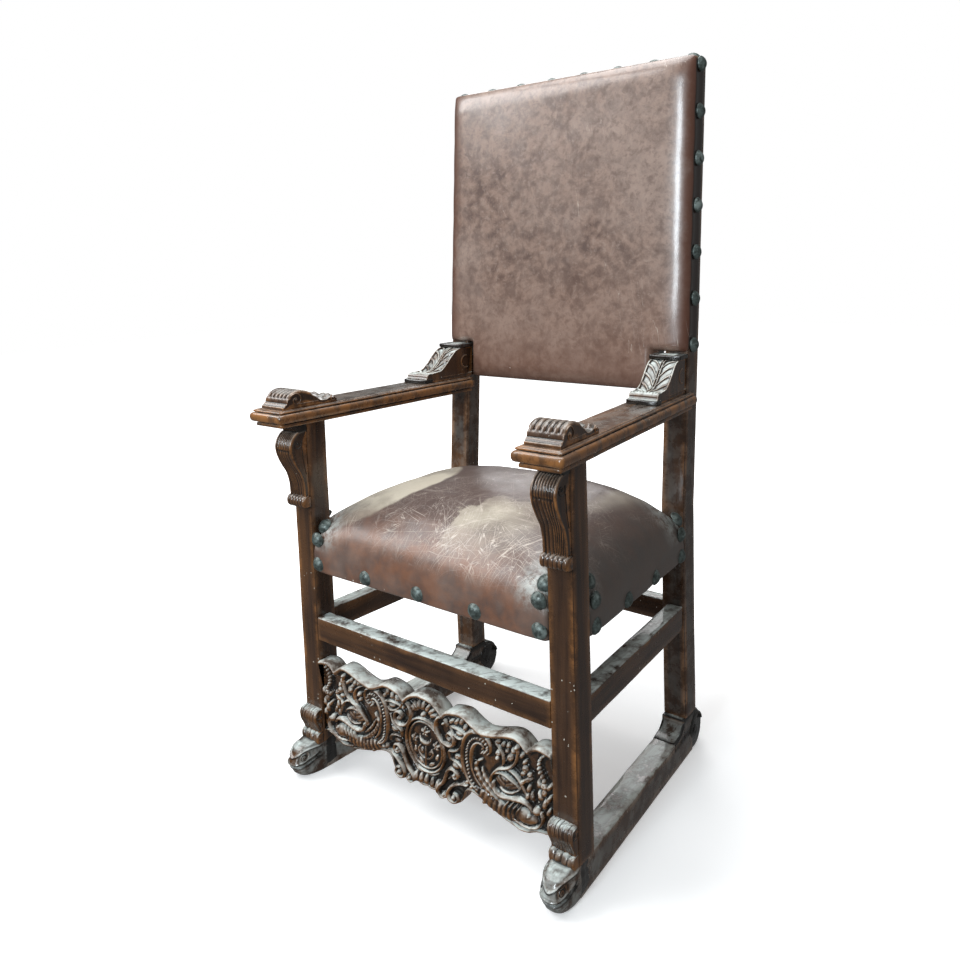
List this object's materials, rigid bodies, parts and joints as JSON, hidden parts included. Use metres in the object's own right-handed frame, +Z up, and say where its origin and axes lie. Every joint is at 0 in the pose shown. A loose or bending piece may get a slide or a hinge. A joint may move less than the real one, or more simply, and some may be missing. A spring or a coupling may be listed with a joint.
{
  "type": "throne",
  "caption": "High-backed ceremonial armchair with a padded leather seat and back, moulded arms with carved scrolls, a carved front apron and sled runners with fish-head feet.",
  "frame": {"origin": "middle of the footprint, on the floor", "axes": "+Z up, the seat faces -Y, +X is the right side seen from the front"},
  "size_m": [0.6712, 0.5966, 1.3183],
  "materials": {
    "walnut": "dark waxed walnut, worn reddish on the edges, dusty in the carving",
    "leather": "old glossy brown hide, mottled and scratched",
    "domed_nails": "darkened brass with a grey-green tarnish"
  },
  "bodies": {
    "root": {"apron": "walnut", "arm_block_left": "walnut", "arm_block_right": "walnut", "arm_left": "walnut", "arm_right": "walnut", "arm_roll_left": "walnut", "arm_roll_right": "walnut", "back_nail_left_1": "domed_nails", "back_nail_left_2": "domed_nails", "back_nail_left_3": "domed_nails", "back_nail_left_4": "domed_nails", "back_nail_left_5": "domed_nails", "back_nail_left_6": "domed_nails", "back_nail_left_7": "domed_nails", "back_nail_right_1": "domed_nails", "back_nail_right_2": "domed_nails", "back_nail_right_3": "domed_nails", "back_nail_right_4": "domed_nails", "back_nail_right_5": "domed_nails", "back_nail_right_6": "domed_nails", "back_nail_right_7": "domed_nails", "back_nail_top_1": "domed_nails", "back_nail_top_2": "domed_nails", "back_nail_top_3": "domed_nails", "back_nail_top_4": "domed_nails", "back_nail_top_5": "domed_nails", "back_nail_top_6": "domed_nails", "back_nail_top_7": "domed_nails", "back_nail_top_8": "domed_nails", "back_pad": "leather", "back_rail_bottom": "walnut", "back_rail_top": "walnut", "console_left": "walnut", "console_right": "walnut", "foot_roll_left": "walnut", "foot_roll_right": "walnut", "foot_scroll_left": "walnut", "foot_scroll_right": "walnut", "front_leg_left": "walnut", "front_leg_right": "walnut", "front_rail": "walnut", "rear_post_left": "walnut", "rear_post_right": "walnut", "rear_rail": "walnut", "runner_left": "walnut", "runner_right": "walnut", "seat_cushion": "leather", "seat_nail_front_1": "domed_nails", "seat_nail_front_2": "domed_nails", "seat_nail_front_3": "domed_nails", "seat_nail_front_4": "domed_nails", "seat_nail_front_5": "domed_nails", "seat_rail_front": "walnut", "seat_rail_left": "walnut", "seat_rail_rear": "walnut", "seat_rail_right": "walnut", "side_rail_left": "walnut", "side_rail_right": "walnut"}
  },
  "joints": []
}
